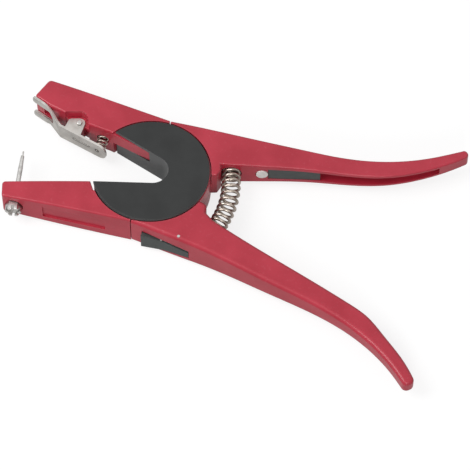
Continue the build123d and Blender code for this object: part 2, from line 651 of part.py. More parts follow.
# Casting with the upper jaw and the lower handle
with BuildPart() as upper_jaw_arm:
    add(upper_jaw.part)
    add(lower_handle.part)
    with BuildSketch(Plane.XY.offset(HIGH_WEB[1])):
        Circle(RING_RADIUS)
    extrude(amount=HUB_THICK, mode=Mode.SUBTRACT)
    with BuildSketch(Plane.XY.offset(HIGH_WEB[0])):
        Circle(RING_RADIUS)
    extrude(amount=-HUB_THICK, mode=Mode.SUBTRACT)
    with BuildSketch(Plane.XY.offset(HIGH_WEB[0])):
        add(sector(BORE_RADIUS, WEB_RADIUS, SEAM_LOW + SEAM_LOW_HALF, SEAM_HIGH + WEB_LAP))
    extrude(amount=HIGH_WEB[1] - HIGH_WEB[0])
    # Steps above and below the tongue for the clip's ears
    with BuildSketch() as step:
        with BuildLine():
            Polyline(
                *CLIP_POCKET,
                (CLIP_POCKET[-1][0], LUG_Y),
                (CLIP_POCKET[0][0], LUG_Y),
                close=True,
            )
        make_face()
        for corner in CLIP_POCKET[:3]:
            fillet(step.vertices().sort_by_distance(corner)[0], CLIP_POCKET_CORNER)
    extrude(amount=HUB_THICK, mode=Mode.SUBTRACT)
    # Tongue that carries the clip's pin
    with BuildSketch(Plane.XY.offset(MID - TONGUE_HALF)):
        with BuildLine():
            Polyline(*CLIP_POCKET, UPPER_MOUTH_EDGE[1], close=True)
        make_face()
        with Locations(CLIP_PIN):
            Circle(TONGUE_RADIUS)
    extrude(amount=2 * TONGUE_HALF)
    with Locations((*CLIP_PIN, HUB_THICK)):
        Hole(CLIP_PIN_RADIUS)
    # Slot that takes the needle's tip when the jaws shut
    with BuildSketch(Plane.XY.offset(MID - NEEDLE_RELIEF_WIDTH / 2)):
        add(sector(RELIEF_INNER, RELIEF_OUTER, NEEDLE_RELIEF_END, UPPER_WEB_SIDE))
    extrude(amount=NEEDLE_RELIEF_WIDTH, mode=Mode.SUBTRACT)
    # Pocket for the clip's spring
    with BuildSketch(Plane(origin=CLIP_SPRING_TOP, z_dir=-CLIP_SPRING_UP)):
        Circle(CLIP_SPRING_HOLE)
    extrude(amount=2 * CLIP_SPRING_DEPTH, mode=Mode.SUBTRACT)
    # Main spring's pocket in the handle's inner wall
    with BuildSketch(Plane(origin=SPRING_FOOT, z_dir=-FOOT_DIRECTION)):
        Circle(SPRING_HOLE_RADIUS)
    extrude(amount=2 * SPRING_SEAT_DEPTH, mode=Mode.SUBTRACT)
    # Window for the latch lever and the holes for its two pins
    add(lever_pocket.part, mode=Mode.SUBTRACT)
    with Locations((*LEVER_PIN, HUB_THICK)):
        Hole(LEVER_PIN_RADIUS)
    with BuildSketch(STOP_PLANE):
        Circle(STOP_RADIUS)
    extrude(amount=-STOP_LENGTH, mode=Mode.SUBTRACT)

# Upper half of the hub: plate, half of the boss, and the fill beside the high web
with BuildPart() as hub_top:
    with BuildSketch(Plane.XY.offset(PLATE_UNDER)):
        Circle(HUB_RADIUS)
        add(throat(), mode=Mode.SUBTRACT)
    extrude(amount=PLATE_THICK)
    with BuildSketch(Plane.XY.offset(MID)):
        Circle(BOSS_RADIUS)
        add(sector(CORE_RADIUS, NOTCH_RADIUS, NOTCH_END, SEAM_LOW - FILL_GAP))
        add(throat(), mode=Mode.SUBTRACT)
    extrude(amount=PLATE_UNDER - MID)
    top_rim = hub_top.edges().filter_by(GeomType.CIRCLE).group_by(Axis.Z)[-1].sort_by(SortBy.RADIUS)[-1]
    fillet(top_rim, HUB_EDGE_ROUND)
    with Locations(*[Plane((*polar(SCREW_CIRCLE, angle), MID), z_dir=(0, 0, -1)) for angle in SCREW_ANGLES]):
        Hole(SCREW_RADIUS, SCREW_LENGTH - MID)

# Lower half of the hub: plate, half of the boss, and the fill beside the low web
with BuildPart() as hub_bottom:
    with BuildSketch():
        Circle(HUB_RADIUS)
        add(throat(), mode=Mode.SUBTRACT)
    extrude(amount=PLATE_THICK)
    with BuildSketch(Plane.XY.offset(PLATE_THICK)):
        Circle(BOSS_RADIUS)
        add(sector(CORE_RADIUS, HUB_RADIUS, SEAM_HIGH + FILL_GAP, FILL_END))
        add(throat(), mode=Mode.SUBTRACT)
    extrude(amount=MID - PLATE_THICK)
    low_rim = hub_bottom.edges().filter_by(GeomType.CIRCLE).group_by(Axis.Z)[0].sort_by(SortBy.RADIUS)[-1]
    fillet(low_rim, HUB_EDGE_ROUND)
    with Locations(*[Plane((*polar(SCREW_CIRCLE, angle), 0), z_dir=(0, 0, -1)) for angle in SCREW_ANGLES]):
        CounterBoreHole(
            SCREW_RADIUS + BOSS_FIT,
            SCREW_HEAD_RADIUS + BOSS_FIT,
            SCREW_HEAD_HEIGHT + SCREW_SLOT_DEPTH / 2,
            MID,
        )

# Slotted screws, driven in from the underside
with BuildPart() as hub_screws:
    for angle in SCREW_ANGLES:
        place = polar(SCREW_CIRCLE, angle)
        head_level = SCREW_SLOT_DEPTH / 2
        with BuildSketch(Plane((*place, head_level))):
            Circle(SCREW_HEAD_RADIUS)
        extrude(amount=SCREW_HEAD_HEIGHT)
        with BuildSketch(Plane((*place, head_level))):
            Circle(SCREW_RADIUS)
        extrude(amount=SCREW_LENGTH - head_level)
        with BuildSketch(Plane((*place, head_level))):
            Rectangle(3 * SCREW_HEAD_RADIUS, SCREW_SLOT_WIDTH)
        extrude(amount=SCREW_SLOT_DEPTH, mode=Mode.SUBTRACT)

# Dark bar that fills the start of the upper handle's channel
INSERT_START_X = CHANNEL_START + SIDE_GAP
INSERT_END_X = INSERT_START_X + INSERT_LENGTH
INSERT_FACE = [along(UPPER_INNER_START, UPPER_INNER[-1], x) for x in (INSERT_START_X, INSERT_END_X)]
with BuildPart() as handle_insert:
    with BuildSketch():
        with BuildLine():
            Polyline(
                *[(x, y + INSERT_SETBACK) for x, y in INSERT_FACE],
                *[(x, y + INSERT_SETBACK + INSERT_DEPTH) for x, y in reversed(INSERT_FACE)],
                close=True,
            )
        make_face()
    extrude(amount=HUB_THICK)
    extrude(channel_side(INSERT_FIT), amount=DEEP, both=True, mode=Mode.INTERSECT)

# Pale rivet beside the bar, its head in a wider hole
with BuildPart() as insert_rivet:
    with BuildSketch(Plane(origin=(RIVET_X, RIVET_WALL_Y + RIVET_HEAD_HEIGHT, MID), z_dir=(0, -1, 0))):
        Circle(RIVET_HEAD_RADIUS)
    extrude(amount=RIVET_HEAD_HEIGHT)
    with BuildSketch(Plane(origin=(RIVET_X, RIVET_WALL_Y + RIVET_HEAD_HEIGHT, MID), z_dir=(0, 1, 0))):
        Circle(RIVET_SHANK_RADIUS)
    extrude(amount=RIVET_LENGTH - RIVET_HEAD_HEIGHT)

# Ear clip, bent from sheet, with a fork at one end and a finger pad at the other
with BuildPart() as tag_clip:
    with BuildSketch(Plane.XY.offset(MID - CLIP_FORK_WIDTH / 2)) as sheet:
        with BuildLine() as sheet_line:
            FilletPolyline(
                CLIP_FREE_END,
                CLIP_BEND,
                (FORK_ROOT.X, FORK_ROOT.Y),
                (FORK_TIP.X, FORK_TIP.Y),
                radius=CLIP_BEND_RADIUS,
            )
        trace(line_width=CLIP_SHEET)
    extrude(amount=CLIP_FORK_WIDTH)
    # The strip is narrower than the fork, which narrows to it over a short neck
    with BuildSketch(Plane.XZ) as width:
        for side in (-1, 1):
            with BuildLine():
                Polyline(
                    (CLIP_NECK[0], MID + side * CLIP_FORK_WIDTH / 2),
                    (CLIP_NECK[1], MID + side * CLIP_STRIP_WIDTH / 2),
                    (0, MID + side * CLIP_STRIP_WIDTH / 2),
                    (0, MID + side * CLIP_FORK_WIDTH),
                    (CLIP_NECK[0], MID + side * CLIP_FORK_WIDTH),
                    close=True,
                )
            make_face()
    extrude(amount=DEEP, both=True, mode=Mode.SUBTRACT)
    # Rounded finger end
    pad_corners = tag_clip.edges().filter_by(
        lambda edge: (edge.center() - Vector(*CLIP_FREE_END, edge.center().Z)).length < CLIP_SHEET
        and abs(edge.length - CLIP_SHEET) < SAME_LENGTH
    )
    fillet(pad_corners, CLIP_STRIP_WIDTH / 2 - CLIP_PAD_FLAT)
    # Slot between the prongs
    slot_plane = Plane(origin=(*CLIP_SLOT_START, MID), x_dir=CLIP_SLOT_RUN, z_dir=CLIP_SLOT_FACE)
    with BuildSketch(slot_plane):
        with Locations((CLIP_SLOT_WIDTH / 2, 0)):
            Circle(CLIP_SLOT_WIDTH / 2)
            Rectangle(DEEP, CLIP_SLOT_WIDTH, align=(Align.MIN, Align.CENTER))
    extrude(amount=4 * CLIP_SHEET, both=True, mode=Mode.SUBTRACT)
    # Rounded ends of the prongs
    prong_corners = tag_clip.edges().filter_by(
        lambda edge: (Vector(edge.center().X, edge.center().Y) - FORK_TIP).length < CLIP_SHEET
        and abs(edge.length - CLIP_SHEET) < SAME_LENGTH
    )
    fillet(prong_corners, CLIP_PRONG_ROUND)
    # Ears that turn on the pin
    for level in (EAR_LEVEL, HUB_THICK - EAR_LEVEL - CLIP_SHEET):
        with BuildSketch(Plane.XY.offset(level)):
            with BuildLine():
                CenterArc(CLIP_PIN, EAR_RADIUS, 0, 360)
                CenterArc(EAR_SHOULDER, EAR_SHOULDER_RADIUS, 0, 360)
                Line(*EAR_FOOT)
            make_hull()
        extrude(amount=CLIP_SHEET)
    with Locations((*CLIP_PIN, HUB_THICK)):
        Hole(CLIP_PIN_RADIUS + CLIP_PIN_FIT)

# Pin of the clip, with a low rounded head at each end
CLIP_HEAD_LEVEL = EAR_LEVEL + CLIP_SHEET + SIDE_GAP - MID
with BuildPart() as clip_pin:
    with BuildSketch(Plane.XY.offset(MID)):
        with Locations(CLIP_PIN):
            Circle(CLIP_PIN_RADIUS)
    extrude(amount=CLIP_HEAD_LEVEL, both=True)
    for side in (-1, 1):
        with BuildSketch(Plane.XY.offset(MID + side * CLIP_HEAD_LEVEL)):
            with Locations(CLIP_PIN):
                Circle(CLIP_HEAD_RADIUS)
        extrude(amount=side * CLIP_HEAD_HEIGHT)
    head_rims = clip_pin.edges().filter_by(GeomType.CIRCLE).group_by(Axis.Z)
    fillet(head_rims[0] + head_rims[-1], CLIP_HEAD_ROUND)

# Small coil spring between the jaw and the clip's finger end
with BuildPart() as clip_spring:
    with BuildLine() as clip_coil:
        Spline(
            *coil(
                CLIP_SPRING_TOP - CLIP_SPRING_UP * (CLIP_SPRING_WIRE / 2),
                -CLIP_SPRING_UP,
                CLIP_SPRING_DEPTH - CLIP_SPRING_WIRE / 2,
                CLIP_SPRING_BEND_RADIUS,
                CLIP_SPRING_LENGTH - CLIP_SPRING_WIRE,
                CLIP_SPRING_RADIUS - CLIP_SPRING_WIRE / 2,
                CLIP_SPRING_TURNS,
            )
        )
    with BuildSketch(Plane(origin=clip_coil.line @ 0, z_dir=clip_coil.line % 0)):
        Circle(CLIP_SPRING_WIRE / 2)
    sweep()

# Main spring, which pushes the handles apart
with BuildPart() as main_spring:
    with BuildLine() as main_coil:
        Spline(
            *coil(
                SPRING_TOP - Vector(0, SPRING_WIRE / 2, 0),
                Vector(0, -1, 0),
                SPRING_STRAIGHT - SPRING_WIRE / 2,
                SPRING_BEND_RADIUS,
                SPRING_LENGTH - SPRING_WIRE,
                SPRING_RADIUS - SPRING_WIRE / 2,
                SPRING_TURNS,
            )
        )
    with BuildSketch(Plane(origin=main_coil.line @ 0, z_dir=main_coil.line % 0)):
        Circle(SPRING_WIRE / 2)
    sweep()

# Needle: a tail, a flange and a collar in the jaw, a straight shaft, a taper and a thin tip
FLANGE_FOOT = NEEDLE_FLANGE_DEPTH + NEEDLE_FLANGE_HEIGHT
TAIL_END = JAW_DEPTH + NEEDLE_TAIL_OUT
with BuildPart() as needle:
    with BuildSketch(Plane(origin=NEEDLE_MOUTH, x_dir=(0, 0, 1), z_dir=NEEDLE_DIRECTION.rotate(Axis.Z, 90))):
        with BuildLine():
            Polyline(
                (0, -TAIL_END),
                (NEEDLE_RADIUS, -TAIL_END),
                (NEEDLE_RADIUS, -FLANGE_FOOT),
                (NEEDLE_FLANGE_RADIUS, -FLANGE_FOOT),
                (NEEDLE_FLANGE_RADIUS, -NEEDLE_FLANGE_DEPTH),
                (NEEDLE_COLLAR_RADIUS, -NEEDLE_FLANGE_DEPTH),
                (NEEDLE_COLLAR_RADIUS, NEEDLE_COLLAR_OUT),
                (NEEDLE_RADIUS, NEEDLE_COLLAR_OUT),
                (NEEDLE_RADIUS, NEEDLE_STRAIGHT),
                (NEEDLE_SHOULDER_RADIUS, NEEDLE_SHOULDER),
                (NEEDLE_TIP_RADIUS, NEEDLE_SHOULDER),
                (NEEDLE_TIP_RADIUS, NEEDLE_OUT - NEEDLE_TIP_RADIUS),
                (0, NEEDLE_OUT),
                close=True,
            )
        make_face()
    revolve(axis=Axis(NEEDLE_MOUTH, NEEDLE_DIRECTION))

# Castle nut that holds the needle's flange in the jaw
with BuildPart() as needle_nut:
    with BuildSketch(NEEDLE_PLANE.offset(-NUT_HEAD_SEAT)):
        RegularPolygon(NUT_ACROSS_FLATS / 2, NUT_SIDES, major_radius=False, rotation=180 / NUT_SIDES)
    extrude(amount=-NUT_HEAD_HEIGHT)
    crown = needle_nut.faces().sort_by(Axis(NEEDLE_MOUTH, NEEDLE_DIRECTION))[0]
    chamfer(crown.edges(), NUT_CHAMFER)
    with BuildSketch(NEEDLE_PLANE.offset(-NUT_HEAD_SEAT)):
        Circle(NUT_THREAD_RADIUS)
    extrude(amount=NUT_HEAD_SEAT - FLANGE_FOOT)
    with BuildSketch(NEEDLE_PLANE.offset(-NUT_HEAD_SEAT - NUT_HEAD_HEIGHT)):
        Circle(NUT_CROWN_BORE)
        for cut in range(NUT_SLOT_CUTS):
            Rectangle(2 * NUT_ACROSS_FLATS, NUT_SLOT_WIDTH, rotation=cut * 180 / NUT_SLOT_CUTS)
    extrude(amount=NUT_SLOT_DEPTH, mode=Mode.SUBTRACT)
    with BuildSketch(NEEDLE_PLANE.offset(-FLANGE_FOOT)):
        Circle(NEEDLE_RADIUS + NEEDLE_FIT)
    extrude(amount=-TAIL_END, mode=Mode.SUBTRACT)

# Latch lever in the lower handle's window
LEVER_END = WINDOW_RUN.length - LEVER_GAP
with BuildPart() as latch_lever:
    with BuildSketch(WINDOW_PLAN) as lever_plan:
        with BuildLine():
            Polyline(
                (LEVER_GAP, -LEVER_PROUD),
                (LEVER_BEND, 0),
                (LEVER_END, 0),
                (LEVER_END, LEVER_THICK),
                (LEVER_BEND, LEVER_THICK),
                (LEVER_GAP, LEVER_THICK - LEVER_PROUD),
                close=True,
            )
        make_face()
        with Locations((LEVER_PIN_RUN, LEVER_PIN_DEPTH)):
            Circle(LEVER_EYE_RADIUS)
    extrude(amount=HUB_THICK)
    extrude(window(LEVER_GAP, LEVER_HEADROOM), amount=2 * WINDOW_OPEN, both=True, mode=Mode.INTERSECT)
    with Locations((*LEVER_PIN, HUB_THICK)):
        Hole(LEVER_PIN_RADIUS + LEVER_PIN_FIT)

# Pin of the latch lever, flush with the top of the handle
with BuildPart() as lever_pin:
    with BuildSketch(Plane.XY.offset(LEVER_PIN_FOOT)):
        with Locations(LEVER_PIN):
            Circle(LEVER_PIN_RADIUS)
    extrude(amount=MID + ARM_THICK / 2 - LEVER_PIN_FOOT)

# Stop pin above the lever, set square into the bottom of its pocket
with BuildPart() as lever_stop:
    with BuildSketch(STOP_PLANE):
        Circle(STOP_RADIUS)
    extrude(amount=-STOP_LENGTH)

# Each piece goes out under the name of its node
PIECES = {
    "lower_jaw_arm": lower_jaw_arm,
    "upper_jaw_arm": upper_jaw_arm,
    "hub_top": hub_top,
    "hub_bottom": hub_bottom,
    "hub_screws": hub_screws,
    "main_spring": main_spring,
    "tag_clip": tag_clip,
    "clip_pin": clip_pin,
    "clip_spring": clip_spring,
    "needle": needle,
    "needle_nut": needle_nut,
    "handle_insert": handle_insert,
    "insert_rivet": insert_rivet,
    "latch_lever": latch_lever,
    "lever_pin": lever_pin,
    "lever_stop": lever_stop,
}
for node, piece in PIECES.items():
    piece.part.label = node
    export_step(piece.part, f"parts/{node}.step")
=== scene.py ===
from math import cos, pi, radians, sin

import bpy
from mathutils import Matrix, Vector


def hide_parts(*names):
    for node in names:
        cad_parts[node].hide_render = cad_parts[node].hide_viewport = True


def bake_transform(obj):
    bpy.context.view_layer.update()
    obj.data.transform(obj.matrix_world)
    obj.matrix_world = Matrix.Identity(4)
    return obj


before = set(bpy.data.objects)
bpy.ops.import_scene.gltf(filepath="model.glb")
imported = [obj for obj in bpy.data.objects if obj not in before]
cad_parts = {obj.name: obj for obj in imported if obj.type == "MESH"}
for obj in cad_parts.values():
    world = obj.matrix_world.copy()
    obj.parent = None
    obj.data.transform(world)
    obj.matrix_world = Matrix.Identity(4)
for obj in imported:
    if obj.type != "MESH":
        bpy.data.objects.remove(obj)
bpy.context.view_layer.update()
MM = 0.001

# Painted castings: the two arms of the tool.
# Each is one aluminium casting, linished along its parting line and coated
# with a satin red enamel, which is a little thick in the corners and thin on the edges.
# The lighter pink along the edges is partly that thin enamel and partly a painted highlight.
PAINT_TOP = "#C23145"
PAINT_DEEP = "#B2273A"
PAINT_THIN_EDGE_AND_HIGHLIGHT = "#C65C68"
PAINT_DUST = "#C4515F"
PAINT_CLOUD_MM = 22.0
PAINT_SPECK_MM = 1.6
PAINT_PEEL_MM = 1.4
PAINT_RIM_BAND_MM = 0.7
PAINT_RIM_SHARE = (0.25, 0.8)
PAINT_WAVE_DEPTH = 0.12
PAINT_PEEL_DEPTH = 0.012
PAINT_ROUGHNESS = (0.3, 0.42)
PAINT_IOR = 1.42
PAINT_COAT = 0.25
PAINT_COAT_ROUGHNESS = 0.16
SPECK_PEAKS = (0.6, 0.78)
SPECK_SHARE = 0.35
COLOUR_SPREAD = (0.35, 0.65)
ROUGH_SPREAD = (0.3, 0.7)
FLAT_LIKENESS = 0.999
EDGE_LIKENESS = 0.9


def linear(code):
    """A colour written as sRGB hex, turned to linear light."""
    parts = [int(code[i:i + 2], 16) / 255 for i in (1, 3, 5)]
    return [p / 12.92 if p <= 0.04045 else ((p + 0.055) / 1.055) ** 2.4 for p in parts] + [1.0]


def node(tree, kind, inputs=None, **settings):
    """Adds a node with its settings, and sets or links its inputs by name or number."""
    made = tree.nodes.new(kind)
    for key, value in settings.items():
        setattr(made, key, value)
    for key, value in (inputs or {}).items():
        if isinstance(value, bpy.types.NodeSocket):
            tree.links.new(value, made.inputs[key])
        else:
            made.inputs[key].default_value = value
    return made


def calc(tree, operation, *terms):
    """One sum on values, each a number or a socket."""
    return node(tree, "ShaderNodeMath", dict(enumerate(terms)), operation=operation).outputs["Value"]


def new_finish(name):
    """A material with its tree, its shader and the coordinates of the piece in millimetres."""
    finish = bpy.data.materials.new(name)
    finish.use_nodes = True
    tree = finish.node_tree
    shader = tree.nodes["Principled BSDF"]
    place = node(tree, "ShaderNodeTexCoord").outputs["Object"]
    grid = node(tree, "ShaderNodeMapping", {"Vector": place, "Scale": (1 / MM, 1 / MM, 1 / MM)})
    return finish, tree, shader, grid.outputs["Vector"]


def grain(tree, place, size, detail=2.0, rough=0.5):
    """Noise with features of one size in millimetres."""
    made = node(tree, "ShaderNodeTexNoise", {"Vector": place, "Scale": 1 / size, "Detail": detail,
                                             "Roughness": rough})
    return made.outputs["Fac"]


def ramp(tree, value, low, high, start=0.0, end=1.0):
    """Stretches a value from one range to another and stops at its ends."""
    made = node(tree, "ShaderNodeMapRange", {"Value": value, "From Min": low, "From Max": high,
                                             "To Min": start, "To Max": end})
    return made.outputs["Result"]


def blend_colour(tree, share, first, second):
    """Mixes two colours, each a hex value or a socket."""
    made = node(tree, "ShaderNodeMix", {"Factor": share}, data_type="RGBA")
    for socket, colour in ((made.inputs[6], first), (made.inputs[7], second)):
        if isinstance(colour, str):
            socket.default_value = linear(colour)
        else:
            tree.links.new(colour, socket)
    return made.outputs[2]


def clouded(tree, place, size, first, second, detail=3.0):
    """Slow clouds of one size in millimetres, and two colours mixed by them."""
    cloud = grain(tree, place, size, detail)
    return cloud, blend_colour(tree, ramp(tree, cloud, *COLOUR_SPREAD), first, second)


def edge_share(tree, radius):
    """One along outer and inner edges, nothing on flats, from how the surface turns within a radius."""
    turned = node(tree, "ShaderNodeBevel", {"Radius": radius * MM}, samples=4).outputs["Normal"]
    flat = node(tree, "ShaderNodeNewGeometry").outputs["Normal"]
    likeness = node(tree, "ShaderNodeVectorMath", {0: turned, 1: flat}, operation="DOT_PRODUCT")
    return ramp(tree, likeness.outputs["Value"], FLAT_LIKENESS, EDGE_LIKENESS)


def colour_in(tree, shader, tone, unevenness, roughness):
    """Wires the colour to the shader, and a roughness that varies between two values."""
    tree.links.new(tone, shader.inputs["Base Color"])
    tree.links.new(ramp(tree, unevenness, *ROUGH_SPREAD, *roughness), shader.inputs["Roughness"])


def bump(tree, shader, *layers):
    """Stacks height layers, each (height, depth in millimetres), and wires them to the shader."""
    normal = None
    for height, depth in layers:
        made = node(tree, "ShaderNodeBump", {"Height": height, "Strength": 1.0, "Distance": depth * MM})
        if normal:
            tree.links.new(normal, made.inputs["Normal"])
        normal = made.outputs["Normal"]
    tree.links.new(normal, shader.inputs["Normal"])


def dress(names, finish):
    """Gives a finish to nodes of the frame whose shape stays as it is."""
    for name in names:
        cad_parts[name].data.materials.clear()
        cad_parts[name].data.materials.append(finish)


# Satin enamel: soft broad highlights, a fine orange peel, and a lighter pink along every edge that is partly
# thin enamel and partly a painted highlight
enamel, tree, shader, place = new_finish("satin_red_enamel")
cloud, tone = clouded(tree, place, PAINT_CLOUD_MM, PAINT_TOP, PAINT_DEEP)
speck = ramp(tree, grain(tree, place, PAINT_SPECK_MM), *SPECK_PEAKS, 0.0, SPECK_SHARE)
tone = blend_colour(tree, speck, tone, PAINT_DUST)
# Painted highlight along every edge, partly real thinning of the enamel: a lighter pink is mixed in over a
# narrow edge band
edge_wear_and_highlight = calc(tree, "MULTIPLY", edge_share(tree, PAINT_RIM_BAND_MM), ramp(tree, cloud, *ROUGH_SPREAD, *PAINT_RIM_SHARE))
tone = blend_colour(tree, edge_wear_and_highlight, tone, PAINT_THIN_EDGE_AND_HIGHLIGHT)
colour_in(tree, shader, tone, cloud, PAINT_ROUGHNESS)
shader.inputs["IOR"].default_value = PAINT_IOR
shader.inputs["Coat Weight"].default_value = PAINT_COAT
shader.inputs["Coat Roughness"].default_value = PAINT_COAT_ROUGHNESS
bump(tree, shader, (cloud, PAINT_WAVE_DEPTH), (grain(tree, place, PAINT_PEEL_MM), PAINT_PEEL_DEPTH))
dress(["lower_jaw_arm", "upper_jaw_arm"], enamel)

# Hub halves: two round plastic mouldings with the throat for the ear.
# Moulded in black glass-filled nylon with a fine spark-eroded grain, and screwed
# together from below through the boss that the arms turn on.
NYLON = "#1B1D1D"
NYLON_DARK = "#131515"
NYLON_RUBBED = "#3E4040"
NYLON_LIT_WALL = "#646666"
NYLON_CLOUD_MM = 14.0
NYLON_GRAIN_MM = 0.9
NYLON_GRAIN_DEPTH = 0.012
NYLON_EDGE_MM = 0.5
NYLON_ROUGHNESS = (0.5, 0.62)
NYLON_IOR = 1.53
WALL_LEVELS = (0.6, 0.2)
WALL_LIGHT_SHARE = 0.8

# Black nylon: little shine and a fine grain, greyer along its edges, with painted light making every steep
# wall a lighter grey than the tops
nylon, tree, shader, place = new_finish("black_nylon")
cloud, tone = clouded(tree, place, NYLON_CLOUD_MM, NYLON, NYLON_DARK)
tone = blend_colour(tree, edge_share(tree, NYLON_EDGE_MM), tone, NYLON_RUBBED)
# Painted light: steep walls turn a lighter grey than the flat tops, as if lit from the side
facing = node(tree, "ShaderNodeSeparateXYZ", {"Vector": node(tree, "ShaderNodeNewGeometry").outputs["Normal"]})
level = calc(tree, "ABSOLUTE", facing.outputs["Z"])
tone = blend_colour(tree, ramp(tree, level, *WALL_LEVELS, 0.0, WALL_LIGHT_SHARE), tone, NYLON_LIT_WALL)
colour_in(tree, shader, tone, cloud, NYLON_ROUGHNESS)
shader.inputs["IOR"].default_value = NYLON_IOR
bump(tree, shader, (grain(tree, place, NYLON_GRAIN_MM), NYLON_GRAIN_DEPTH))
dress(["hub_top", "hub_bottom"], nylon)

# Bright steel pieces: screws, pins, needle and nut.
# Turned from stainless bar and left as machined. The screws and the nut are
# threaded in, the pins and the stop are pressed into the castings.
STEEL = "#DCDAD7"
STEEL_SHADE = "#BAB8B5"
STEEL_CLOUD_MM = 3.0
STEEL_MARK_MM = 0.5
STEEL_MARK_DEPTH = 0.003
STEEL_ROUGHNESS = (0.34, 0.46)
MARK_DETAIL = 1.0

# Turned stainless steel: blurred bright highlights on a slightly cloudy silver
turned_steel, tree, shader, place = new_finish("turned_stainless_steel")
cloud, tone = clouded(tree, place, STEEL_CLOUD_MM, STEEL, STEEL_SHADE)
colour_in(tree, shader, tone, cloud, STEEL_ROUGHNESS)
shader.inputs["Metallic"].default_value = 1.0
bump(tree, shader, (grain(tree, place, STEEL_MARK_MM, MARK_DETAIL), STEEL_MARK_DEPTH))
dress(["hub_screws", "clip_pin", "lever_pin", "lever_stop", "needle", "needle_nut"], turned_steel)

# Ear clip: a strip of spring steel, blanked, bent and dulled by tumbling.
# A rib is pressed along its middle and a dimple behind it for the spring.
STRIP_END = (-25.4, 17.5, 10.75)
STRIP_ANGLE = 148.45
RIB_MIDDLE = 16.2
RIB_HALF = 4.8
RIB_SIDES = (1.0, 0.3)
DIMPLE_AT = 5.8
DIMPLE_SIDES = (1.5, 0.5)
PRESS_DEPTH = 0.8
FOOT_SPREAD = (0.03, 0.2)
FOOT_SHARE = 0.9
CLIP_STEEL = "#D2CFCA"
CLIP_STEEL_DARK = "#B8B5B0"
CLIP_RIB_SHADE = "#4E4B47"
CLIP_CLOUD_MM = 6.0
CLIP_CLOUD_DETAIL = 4.0
CLIP_CLOUD_DEPTH = 0.03
CLIP_EDGE_MM = 0.35
CLIP_ROUGHNESS = (0.42, 0.56)
SCRATCH_TURN = 31.8
SCRATCH_STRETCH = (0.12, 2.5, 2.5)
SCRATCH_MM = 1.0
SCRATCH_DETAIL = 3.0
SCRATCH_HARSHNESS = 0.6
SCRATCH_DEPTH = 0.01

# Tumbled spring steel: dull silver, faint scratches along the strip, and painted shade in dark lines round
# what is pressed in
clip_steel, tree, shader, place = new_finish("tumbled_spring_steel")
cloud, tone = clouded(tree, place, CLIP_CLOUD_MM, CLIP_STEEL, CLIP_STEEL_DARK, CLIP_CLOUD_DETAIL)
tone = blend_colour(tree, edge_share(tree, CLIP_EDGE_MM), tone, STEEL)
scratch = node(tree, "ShaderNodeMapping", {"Vector": place, "Rotation": (0, 0, radians(SCRATCH_TURN)),
                                           "Scale": SCRATCH_STRETCH}).outputs["Vector"]
lines = grain(tree, scratch, SCRATCH_MM, SCRATCH_DETAIL, SCRATCH_HARSHNESS)
strip = node(tree, "ShaderNodeMapping", {"Vector": place, "Location": STRIP_END,
                                         "Rotation": (0, 0, radians(STRIP_ANGLE))}, vector_type="TEXTURE")
spot = node(tree, "ShaderNodeSeparateXYZ", {"Vector": strip.outputs["Vector"]}).outputs


def off_middle(tree, run, across):
    """How far a place is from a point or a line, from its distances along and across."""
    both = node(tree, "ShaderNodeCombineXYZ", {"X": run, "Z": across}).outputs["Vector"]
    return node(tree, "ShaderNodeVectorMath", {0: both}, operation="LENGTH").outputs["Value"]


rib_run = calc(tree, "ABSOLUTE", calc(tree, "SUBTRACT", spot["X"], RIB_MIDDLE))
rib_past = calc(tree, "MAXIMUM", calc(tree, "SUBTRACT", rib_run, RIB_HALF), 0.0)
rib = ramp(tree, off_middle(tree, rib_past, spot["Z"]), *RIB_SIDES)
dimple_run = calc(tree, "SUBTRACT", spot["X"], DIMPLE_AT)
dimple = ramp(tree, off_middle(tree, dimple_run, spot["Z"]), *DIMPLE_SIDES)
pressed = calc(tree, "MAXIMUM", rib, dimple)
# Painted shade: a dark line along the foot of the rib and round the dimple, where the pressed relief would be
# shaded
foot = calc(tree, "MULTIPLY", calc(tree, "SUBTRACT", 1.0, pressed), pressed)
tone = blend_colour(tree, ramp(tree, foot, *FOOT_SPREAD, 0.0, FOOT_SHARE), tone, CLIP_RIB_SHADE)
colour_in(tree, shader, tone, lines, CLIP_ROUGHNESS)
shader.inputs["Metallic"].default_value = 1.0
bump(tree, shader, (pressed, PRESS_DEPTH), (lines, SCRATCH_DEPTH), (cloud, CLIP_CLOUD_DEPTH))
dress(["tag_clip"], clip_steel)

# Springs: the main spring between the handles and the small one under the clip.
# Cold-wound from bright drawn wire, each with its last turn closed up at both ends.
# Both stand straight in their pockets and then bend round to their feet.
MAIN_TOP = Vector((43.9, 9.89, 10.75)) * MM
MAIN_HEADING = -90.0
MAIN_STRAIGHT = 11.89 * MM
MAIN_BEND = 52.9 * MM
MAIN_TURN = 36.7
MAIN_RADIUS = 4.65 * MM
MAIN_WIRE = 0.85 * MM
MAIN_COILS = 13.0
MAIN_CLOSING = 0.2
CLIP_SPRING_TOP = Vector((-26.754, 30.701, 10.75)) * MM
CLIP_SPRING_HEADING = -99.55
CLIP_SPRING_STRAIGHT = 3.8 * MM
CLIP_SPRING_BEND = 17.19 * MM
CLIP_SPRING_TURN = 22.0
CLIP_SPRING_RADIUS = 2.85 * MM
CLIP_SPRING_WIRE = 0.45 * MM
CLIP_SPRING_COILS = 5.0
CLIP_SPRING_CLOSING = 0.3
POINTS_PER_COIL = 28.0
WIRE_SIDES = 14
STRAIGHT_STEPS = 4
BEND_STEPS = 16
WIRE = "#C9BEB3"
WIRE_SHADE = "#9A8F84"
WIRE_CLOUD_MM = 2.0
WIRE_MARK_MM = 0.4
WIRE_MARK_DEPTH = 0.004
WIRE_ROUGHNESS = (0.26, 0.4)

